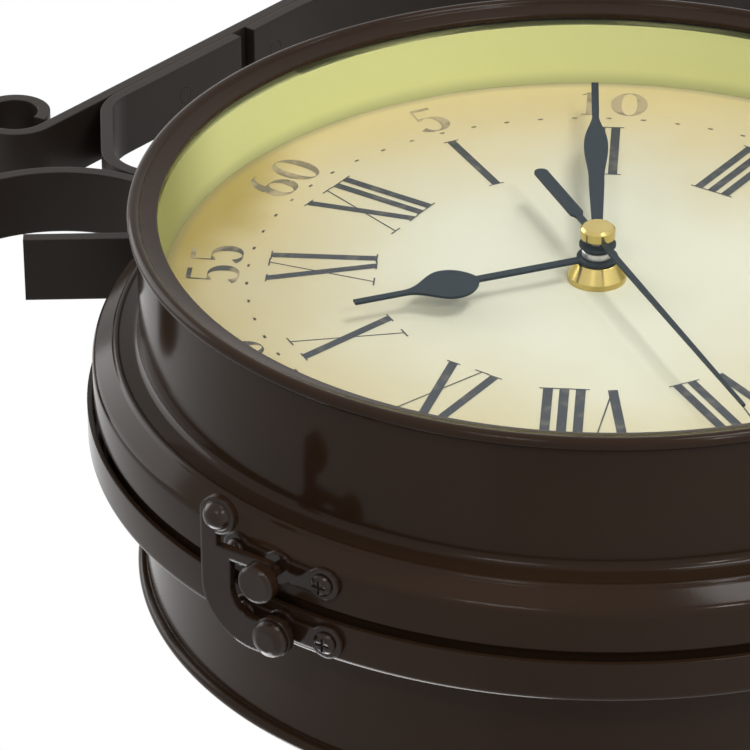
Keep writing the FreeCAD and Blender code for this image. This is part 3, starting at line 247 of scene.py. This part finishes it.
def grown(tree, value, start, end, pace="SMOOTHSTEP"):
    """A share that goes from 0 to 1 while a value goes from a start to an end."""
    return tree.add("ShaderNodeMapRange", {"interpolation_type": pace}, {
        "Value": value, "From Min": start, "From Max": end})


def sleeve_paint(tree):
    before_twelve = (-0.616, 0.0, 0.788)
    shaded_green = (0.32, 0.32, 0.09, 1)
    seam_shadow_green = (0.26, 0.28, 0.13, 1)
    cloud = tree.noise(14.0, detail=3.0)
    grain = tree.noise(900.0)
    # Painted shade: the green darkens towards eleven and twelve, where the sleeve lies in shade.
    shade = grown(tree, reach(tree, before_twelve) + 0.006 * cloud, 0.083, 0.099)
    # Painted shadow: the green turns grey within a few millimetres of the dial, where shade falls.
    seam_shadow = grown(tree, off_split(tree), 0.0300, 0.0258)
    pale = cloud.mixed((0.66, 0.69, 0.27, 1), (0.74, 0.76, 0.34, 1))
    return tree.add("ShaderNodeBsdfPrincipled", {}, {
        "Base Color": (0.5 * seam_shadow).mixed(shade.mixed(pale, shaded_green), seam_shadow_green),
        "Roughness": 0.5 + 0.1 * grain,
        "Normal": tree.bumped(grain, strength=0.08, depth=0.0001, edge=0.0003),
    })


pale_green = new_finish("sleeve_paint", sleeve_paint)
rim_profile = [(96.1, 26.0), (97.4, 40.9), (100.4, 40.9), (100.4, 39.7), (98.6, 39.7), (97.3, 26.0)]
for face, side in (("front", 1), ("rear", -1)):
    sleeve = spun(f"{face}_sleeve_rim", rim_profile, side, 256, pale_green)
    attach(sleeve, "front_half" if face == "front" else "bracket_and_rear_half")
    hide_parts(f"{face}_dial_sleeve")

# Dials: sheet metal faced with printed paper in a cream that has aged to beige in clouds towards the rim,
# with an ochre stain beside twelve, a paler patch past it and a painted grey shadow along the sleeve. The
# back is bare primer.


def dial_paper(tree):
    beside_twelve = (-0.259, 0.0, 0.966)
    past_twelve = (0.5, 0.0, 0.866)
    back_height = 0.0258
    ochre = (0.46, 0.35, 0.09, 1)
    rim_shadow_grey = (0.22, 0.22, 0.15, 1)
    across = tree.add("ShaderNodeVectorMath", {"operation": "MULTIPLY"}, {0: from_middle(tree), 1: (1, 0, 1)})
    radius = tree.add("ShaderNodeVectorMath", {"operation": "LENGTH"}, {0: across}, "Value")
    blotch = tree.noise(26.0, detail=6.0)
    fibre = tree.noise(1500.0, detail=3.0)
    aged = grown(tree, radius + 0.050 * blotch, 0.052, 0.118)
    warm = grown(tree, reach(tree, past_twelve) + 0.020 * blotch, 0.035, 0.085)
    stain = grown(tree, reach(tree, beside_twelve) + 0.030 * blotch, 0.092, 0.108)
    # Painted shadow: the paper turns grey in a thin ring next to the sleeve.
    rim_shadow = grown(tree, radius, 0.0932, 0.0962)
    cream = tree.noise(40.0, detail=4.0).mixed((0.76, 0.76, 0.58, 1), (0.82, 0.82, 0.66, 1))
    beige = aged.mixed(cream, warm.mixed((0.63, 0.53, 0.28, 1), (0.76, 0.63, 0.32, 1)))
    paper = (0.45 * rim_shadow).mixed(stain.mixed(beige, ochre), rim_shadow_grey)
    primer = blotch.mixed((0.40, 0.40, 0.39, 1), (0.48, 0.48, 0.46, 1))
    return tree.add("ShaderNodeBsdfPrincipled", {}, {
        "Base Color": tree.sum("LESS_THAN", off_split(tree), back_height).mixed(paper, primer),
        "Roughness": 0.62 + 0.1 * fibre,
        "Normal": tree.bumped(fibre, strength=0.05, depth=0.0001, edge=0.0002),
    })


dressed(new_finish("dial_paper", dial_paper), "front_dial", "rear_dial")

# Dial print: tall Roman hours with thick stems and hairlines, a ring of minute points, and five-minute
# numbers outside it, all in a slate ink that has worn in places. Every stroke is a flat strip, drawn in
# millimetres.


def dial_ink(tree):
    slate = (0.022, 0.030, 0.038, 1)
    bare_paper = (0.28, 0.26, 0.20, 1)
    worn = grown(tree, tree.noise(260.0, detail=5.0), 0.52, 0.74, "LINEAR")
    return tree.add("ShaderNodeBsdfPrincipled", {}, {
        "Base Color": (0.5 * worn).mixed(slate, bare_paper),
        "Roughness": 0.5 + 0.15 * worn,
        "Normal": tree.bumped(worn, strength=0.05, depth=0.0001, edge=0.0001),
    })


def faded_ink(tree):
    towards_one = (0.64, 0.0, 0.77)
    grey = (0.055, 0.058, 0.048, 1)
    bare_paper = (0.52, 0.42, 0.25, 1)
    worn = grown(tree, tree.noise(170.0, detail=5.0), 0.46, 0.70, "LINEAR")
    bleached = grown(tree, reach(tree, towards_one), 0.030, 0.080, "LINEAR")
    return tree.add("ShaderNodeBsdfPrincipled", {}, {
        "Base Color": (worn + 0.55 * bleached).mixed(grey, bare_paper),
        "Roughness": 0.55 + 0.15 * worn,
        "Normal": tree.bumped(worn, strength=0.05, depth=0.0001, edge=0.0001),
    })


def stroke(points, widths):
    """The corners of one pen stroke: pairs of left and right edges along its points."""
    rows = []
    for index, (across, up) in enumerate(points):
        before = points[max(index - 1, 0)]
        after = points[min(index + 1, len(points) - 1)]
        along = Vector((after[0] - before[0], after[1] - before[1])).normalized()
        half = widths[min(index, len(widths) - 1)] / 2
        left = (across - along.y * half, up + along.x * half)
        right = (across + along.y * half, up - along.x * half)
        rows.append((left, right))
    return rows


def roman(text):
    """The strokes of a Roman number, set side by side about its middle, and standing on zero."""
    stem, hair, tall = 2.1, 0.34, 24.0
    widths = {"I": 3.5, "V": 10.0, "X": 10.5}
    inset = 1.6
    stem_serif = 1.9
    leg_serif = 1.7
    left = -sum(widths[letter] for letter in text) / 2
    strokes = []
    for letter in text:
        right = left + widths[letter]
        middle = left + widths[letter] / 2
        if letter == "I":
            strokes.append(stroke([(middle, 0), (middle, tall)], [stem]))
            for up in (hair / 2, tall - hair / 2):
                strokes.append(stroke([(middle - stem_serif, up), (middle + stem_serif, up)], [hair]))
        else:
            near, far = left + inset, right - inset
            thick_foot, thin_foot = (middle, middle) if letter == "V" else (far, near)
            strokes.append(stroke([(near, tall), (thick_foot, 0)], [stem]))
            strokes.append(stroke([(far, tall), (thin_foot, 0)], [hair]))
            for across in (near, far):
                strokes.append(stroke([(across - leg_serif, tall), (across + leg_serif, tall)], [hair]))
                if letter == "X":
                    strokes.append(stroke([(across - leg_serif, 0), (across + leg_serif, 0)], [hair]))
        left = right
    return strokes


def bow(across, up, wide, tall, start, end, steps=24):
    """A curved pen stroke between two angles, thick where it runs upright and thin where it lies flat."""
    thin, swell, taper = 0.14, 1.9, 1.4
    points = []
    widths = []
    for step in range(steps + 1):
        angle = math.radians(start + (end - start) * step / steps)
        points.append((across + wide * math.cos(angle), up + tall * math.sin(angle)))
        widths.append(thin + swell * abs(math.cos(angle)) ** taper)
    return stroke(points, widths)


def figure(digit):
    """The strokes of one figure from 0 to 6, ten millimetres tall, about its middle."""
    if digit == "0":
        return [bow(0, 5, 2.6, 4.8, 0, 360)]
    if digit == "1":
        return [stroke([(0, 0.2), (0, 9.8)], [1.8]), stroke([(-1.8, 8.6), (0, 9.8)], [0.35]),
                stroke([(-1.8, 0.2), (1.8, 0.2)], [0.35])]
    if digit == "2":
        return [bow(0, 7.2, 2.4, 2.6, 170, -40), stroke([(1.9, 5.6), (-2.2, 0.7)], [1.3, 0.5]),
                stroke([(-2.4, 0.5), (2.5, 0.5)], [1.0])]
    if digit == "3":
        return [bow(-0.1, 7.4, 2.2, 2.4, 160, -90), bow(-0.1, 2.6, 2.5, 2.4, 90, -160)]
    if digit == "4":
        return [stroke([(1.0, 0.2), (1.0, 9.8)], [1.8]), stroke([(1.0, 9.6), (-2.6, 3.0)], [0.4]),
                stroke([(-2.7, 2.9), (2.6, 2.9)], [0.5])]
    if digit == "5":
        return [stroke([(-1.6, 9.5), (2.2, 9.5)], [0.9]), stroke([(-1.7, 9.7), (-1.9, 5.2)], [0.4]),
                bow(-0.2, 3.1, 2.7, 2.9, 120, -150)]
    return [bow(0, 3.0, 2.5, 2.8, 0, 360), bow(0.5, 4.6, 2.9, 5.0, 180, 80)]


def printed(name, face, shapes, material):
    """Ink on a dial. A shape is its strokes, its clockwise angle, the radius of its foot and its size."""
    dial_height = 0.0260
    ink_height = 0.00006
    stroke_rise = 0.000004
    side = 1 if face == "front" else -1
    drawing = bmesh.new()
    for strokes, angle, foot, size in shapes:
        turn = math.radians(angle)
        for layer, rows in enumerate(strokes):
            height = dial_height + ink_height + stroke_rise * layer
            line = []
            for row in rows:
                pair = []
                for across, up in row:
                    along = (foot + up * size) * MM
                    aside = across * size * MM
                    right = along * math.sin(turn) + aside * math.cos(turn)
                    rise = along * math.cos(turn) - aside * math.sin(turn)
                    pair.append(drawing.verts.new(CLOCK + Vector((side * right, -side * height, rise))))
                line.append(pair)
            for near, far in zip(line, line[1:]):
                drawing.faces.new((near[0], near[1], far[1], far[0]))
    bmesh.ops.recalc_face_normals(drawing, faces=drawing.faces)
    for patch in drawing.faces:
        if patch.normal.y * side > 0:
            patch.normal_flip()
    mesh = bpy.data.meshes.new(name)
    drawing.to_mesh(mesh)
    drawing.free()
    mesh.materials.append(material)
    ink = bpy.data.objects.new(name, mesh)
    bpy.context.collection.objects.link(ink)
    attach(ink, "front_half" if face == "front" else "bracket_and_rear_half")


HOURS = ("XII", "I", "II", "III", "IIII", "V", "VI", "VII", "VIII", "IX", "X", "XI")
hour_turn = 30
minute_turn = 6
hour_foot = 49.2
point_foot = 77.7
point_size = 0.55
number_foot = 79.2
number_size = 1.2
digit_pitch = 7.6
slate_ink = new_finish("dial_ink", dial_ink)
faded = new_finish("faded_ink", faded_ink)
minute_point = [bow(0, 0, 0.28, 0.28, 0, 360, steps=12)]
for face in ("front", "rear"):
    hours = [(roman(text), hour_turn * index, hour_foot, 1.0) for index, text in enumerate(HOURS)]
    printed(f"{face}_hour_numbers", face, hours, slate_ink)
    points = [(minute_point, minute_turn * index, point_foot, point_size) for index in range(60)]
    printed(f"{face}_minute_points", face, points, faded)
    numbers = []
    for index in range(12):
        digits = str(5 * index) if index else "60"
        for place, digit in enumerate(digits):
            shift = (place - (len(digits) - 1) / 2) * digit_pitch
            moved = []
            for rows in figure(digit):
                moved.append([tuple((across + shift, up) for across, up in row) for row in rows])
            numbers.append((moved, hour_turn * index, number_foot, number_size))
    printed(f"{face}_minute_numbers", face, numbers, faded)

# Glasses: flat panes of clear window glass, cut round and laid against the bezel from inside, where the
# sleeve holds them. They are clean, with hardly a reflection.


def pane(tree):
    smudge = tree.noise(12.0, detail=4.0)
    return tree.add("ShaderNodeBsdfPrincipled", {}, {
        "Base Color": (0.95, 0.97, 0.96, 1),
        "Roughness": 0.04 + 0.06 * smudge,
        "Alpha": 0.012,
        "Specular IOR Level": 0.2,
    })


dressed(new_finish("pane", pane), "front_glass", "rear_glass")

# Sprung steel: the rings that hold the dials in from behind and the bent contacts of the battery bays,
# all of bright strip that is brushed by the rolls and left bare.


def spring_steel(tree):
    place = tree.add("ShaderNodeTexCoord", {}, {}, "Object")
    drawn_out = tree.add("ShaderNodeVectorMath", {"operation": "MULTIPLY"}, {0: place, 1: (1, 30, 1)})
    brushed = tree.add("ShaderNodeTexNoise", {}, {"Vector": drawn_out, "Scale": 300.0})
    return tree.add("ShaderNodeBsdfPrincipled", {}, {
        "Base Color": brushed.mixed((0.46, 0.46, 0.45, 1), (0.58, 0.58, 0.57, 1)),
        "Metallic": 1.0,
        "Roughness": 0.3 + 0.15 * brushed,
        "Normal": tree.bumped(brushed, strength=0.05, depth=0.0001, edge=0.0002),
    })


dressed(new_finish("spring_steel", spring_steel),
        "front_dial_retainer", "rear_dial_retainer", "front_battery_contacts", "rear_battery_contacts")

# Movements: black moulded trays and covers with a fine spark-eroded texture, an alkaline cell in each
# bay, and a board that carries the copper drive coil. Wheels and arbors are natural moulded plastic.


def moulded_black(tree):
    spark = tree.noise(1400.0, detail=3.0)
    return tree.add("ShaderNodeBsdfPrincipled", {}, {
        "Base Color": spark.mixed((0.016, 0.016, 0.018, 1), (0.030, 0.030, 0.032, 1)),
        "Roughness": 0.5 + 0.15 * spark,
        "Normal": tree.bumped(spark, strength=0.25, depth=0.0002, edge=0.0004),
    })


def cell_wrap(tree):
    wrap_half_length = 0.0215
    black_wrap = (0.02, 0.022, 0.028, 1)
    copper_band = (0.52, 0.28, 0.12, 1)
    along = tree.sum("ABSOLUTE", reach(tree, (1, 0, 0)), 0.0)
    end = tree.sum("GREATER_THAN", along, wrap_half_length)
    scuff = tree.noise(220.0, detail=4.0)
    return tree.add("ShaderNodeBsdfPrincipled", {}, {
        "Base Color": end.mixed(black_wrap, copper_band),
        "Metallic": 0.3 + 0.5 * end,
        "Roughness": 0.22 + 0.16 * scuff,
        "Normal": tree.bumped(scuff, strength=0.04, depth=0.0001, edge=0.0005),
    })


def coil_copper(tree):
    place = tree.add("ShaderNodeTexCoord", {}, {}, "Object")
    turns = tree.add("ShaderNodeTexWave", {"bands_direction": "Z"}, {
        "Vector": place, "Scale": 900.0, "Distortion": 0.4})
    return tree.add("ShaderNodeBsdfPrincipled", {}, {
        "Base Color": turns.mixed((0.20, 0.06, 0.02, 1), (0.50, 0.19, 0.07, 1)),
        "Roughness": 0.35 + 0.1 * turns,
        "Normal": tree.bumped(turns, strength=0.3, depth=0.0001, edge=0.0002),
    })


def natural_plastic(tree):
    flow = tree.noise(240.0, detail=3.0)
    return tree.add("ShaderNodeBsdfPrincipled", {}, {
        "Base Color": flow.mixed((0.70, 0.69, 0.64, 1), (0.80, 0.79, 0.75, 1)),
        "Roughness": 0.38 + 0.1 * flow,
        "Normal": tree.bumped(flow, strength=0.05, depth=0.0001, edge=0.0001),
    })


moulded = new_finish("moulded_black", moulded_black)
cell = new_finish("cell_wrap", cell_wrap)
copper = new_finish("coil_copper", coil_copper)
natural = new_finish("natural_plastic", natural_plastic)
for face in ("front", "rear"):
    dressed(moulded, f"{face}_movement_tray", f"{face}_movement_cover")
    dressed(cell, f"{face}_battery")
    dressed(copper, f"{face}_drive_coil")
    dressed(natural, f"{face}_hour_wheel", f"{face}_minute_pinion", f"{face}_second_arbor",
            f"{face}_setting_wheel")

# Nuts and caps: turned brass, bright with fine tool rings. The nut clamps the movement to the dial, and
# the cap, lightly grained on top, is pushed over the hands.


def turned_brass(tree):
    grain = tree.noise(2400.0)
    tone = tree.noise(90.0)
    return tree.add("ShaderNodeBsdfPrincipled", {}, {
        "Base Color": tone.mixed((0.50, 0.38, 0.11, 1), (0.64, 0.51, 0.18, 1)),
        "Metallic": 1.0,
        "Roughness": 0.16 + 0.10 * grain,
        "Normal": tree.bumped(grain, strength=0.02, depth=0.0001, edge=0.0004),
    })


dressed(new_finish("turned_brass", turned_brass),
        "front_dial_nut", "rear_dial_nut", "front_hand_cap", "rear_hand_cap")

# Hands: stamped from thin sheet, the hour and minute hands with a leaf near the point, pressed on their
# arbors, and painted dark slate blue with a soft sheen.


def hand_paint(tree):
    cloud = tree.noise(160.0, detail=3.0)
    speck = tree.noise(2600.0)
    return tree.add("ShaderNodeBsdfPrincipled", {}, {
        "Base Color": cloud.mixed((0.006, 0.016, 0.023, 1), (0.012, 0.026, 0.037, 1)),
        "Roughness": 0.36 + 0.12 * cloud,
        "Specular IOR Level": 0.13,
        "Normal": tree.bumped(speck, strength=0.06, depth=0.0001, edge=0.0002),
    })


dark_hand = new_finish("hand_paint", hand_paint)
for face in ("front", "rear"):
    dressed(dark_hand, f"{face}_hour_hand", f"{face}_minute_hand", f"{face}_second_hand")

# Hour collars: a short sleeve turned from steel, nickelled and left bare, pushed over the hub of each
# hour hand. It turns with the hand.


def bare_nickel(tree):
    grain = tree.noise(1800.0)
    return tree.add("ShaderNodeBsdfPrincipled", {}, {
        "Base Color": grain.mixed((0.62, 0.62, 0.66, 1), (0.70, 0.70, 0.74, 1)),
        "Metallic": 1.0,
        "Roughness": 0.3 + 0.1 * grain,
    })


nickel = new_finish("bare_nickel", bare_nickel)
collar_profile = [(3.32, 33.35), (3.44, 33.25), (3.44, 31.9), (3.32, 31.8)]
for face, side in (("front", 1), ("rear", -1)):
    collar = spun(f"{face}_hour_collar", collar_profile, side, 64, nickel)
    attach(collar, f"{face}_hour_train")

# Latch and hinge: pressed plates and leaves with turned pins, screwed to the flanges of the two halves,
# in a thick, glossier coat of the same brown.


def fitting_enamel(tree):
    thick_coat = (0.0190, 0.0095, 0.0052, 1)
    thin_coat = (0.0290, 0.0148, 0.0082, 1)
    cloud = tree.noise(90.0, detail=3.0)
    peel = tree.noise(850.0)
    return tree.add("ShaderNodeBsdfPrincipled", {}, {
        "Base Color": cloud.mixed(thick_coat, thin_coat),
        "Roughness": 0.06 + 0.05 * cloud,
        "Specular IOR Level": 0.22,
        "Normal": tree.bumped(peel, strength=0.08, depth=0.0002, edge=0.0009),
    })


dressed(new_finish("fitting_enamel", fitting_enamel),
        "latch_keeper_plate", "latch_post", "latch_keeper_screws", "latch_base_plate", "latch_base_screws",
        "latch_pivot_pin", "latch_hook", "hinge_front_leaf", "hinge_rear_leaf", "hinge_pin",
        "hinge_front_screws", "hinge_rear_screws")

# Studio: a pale floor well below the hanging clock, white surroundings, soft lamps in front of the dials
# and overhead, small ones for the glints, and a long lens that looks up at the clock from its left.
FLOOR_REACH = 6.0
FLOOR_LEVEL = -0.85
ground = bpy.data.meshes.new("studio_floor")
ground.from_pydata([
    (-FLOOR_REACH, -FLOOR_REACH, FLOOR_LEVEL), (FLOOR_REACH, -FLOOR_REACH, FLOOR_LEVEL),
    (FLOOR_REACH, FLOOR_REACH, FLOOR_LEVEL), (-FLOOR_REACH, FLOOR_REACH, FLOOR_LEVEL),
], [], [(0, 1, 2, 3)])
floor = bpy.data.objects.new("studio_floor", ground)
bpy.context.collection.objects.link(floor)


def watched(tree):
    """1 for rays that show the surroundings, straight, in a shine or through glass, and 0 for the rest."""
    straight, shine, through = [tree.add("ShaderNodeLightPath", {}, {}, ray) for ray in (
        "Is Camera Ray", "Is Glossy Ray", "Is Transmission Ray")]
    return tree.sum("MAXIMUM", straight, tree.sum("MAXIMUM", shine, through))


def pale_floor(tree):
    glow = (0.48, 0.48, 0.48, 1)
    cloud = tree.noise(3.0)
    return tree.add("ShaderNodeBsdfPrincipled", {}, {
        "Base Color": cloud.mixed((0.86, 0.86, 0.86, 1), (0.9, 0.9, 0.9, 1)),
        "Roughness": 0.6 + 0.1 * cloud,
        "Emission Color": watched(tree).mixed((0, 0, 0, 1), glow),
        "Emission Strength": 1.0,
    })


ground.materials.append(new_finish("pale_floor", pale_floor))
scene = bpy.context.scene
scene.view_settings.view_transform = "Standard"
world = bpy.data.worlds.new("white_surroundings")
scene.world = world
world.use_nodes = True
world.node_tree.nodes.clear()
sky = Finish(world.node_tree)
ambient = 0.38
sky.add("ShaderNodeOutputWorld", {}, {"Surface": sky.add("ShaderNodeBackground", {}, {
    "Color": (1, 1, 1, 1), "Strength": ambient + (1 - ambient) * watched(sky)})})


def lamp(name, place, wide, tall, power):
    """A soft oval lamp that points at the clock's middle."""
    light = bpy.data.lights.new(name, "AREA")
    light.shape = "ELLIPSE"
    light.size = wide
    light.size_y = tall
    light.energy = power
    holder = bpy.data.objects.new(name, light)
    holder.location = place
    holder.rotation_euler = (CLOCK - Vector(place)).to_track_quat("-Z", "Y").to_euler()
    holder.visible_camera = False
    bpy.context.collection.objects.link(holder)


lamp("front_lamp", (-0.14, -0.83, -0.46), wide=0.3, tall=0.3, power=2.7)
lamp("low_lamp", (-0.50, -0.60, -0.75), wide=0.07, tall=0.07, power=0.9)
lamp("side_lamp", (-0.86, -0.61, -0.25), wide=0.03, tall=0.24, power=0.9)
lamp("spark_lamp", (0.36, -0.95, -0.44), wide=0.035, tall=0.035, power=0.5)
lamp("top_lamp", (-0.2, -0.3, 0.9), wide=0.8, tall=0.8, power=5.0)
lamp("back_lamp", (-0.3, 0.9, 0.2), wide=0.6, tall=0.6, power=5.0)

lens = bpy.data.cameras.new("photo_camera")
lens.lens = 223.5
lens.sensor_width = 36.0
lens.clip_start = 0.01
lens.clip_end = 50.0
camera = bpy.data.objects.new("photo_camera", lens)
camera.matrix_world = Matrix((
    (0.5667209, 0.4167184, -0.7107554, -0.951631),
    (0.0042711, -0.8641359, -0.5032404, -0.527730),
    (-0.8238988, 0.2821611, -0.4915037, -0.593598),
    (0.0, 0.0, 0.0, 1.0),
))
bpy.context.collection.objects.link(camera)
scene.camera = camera
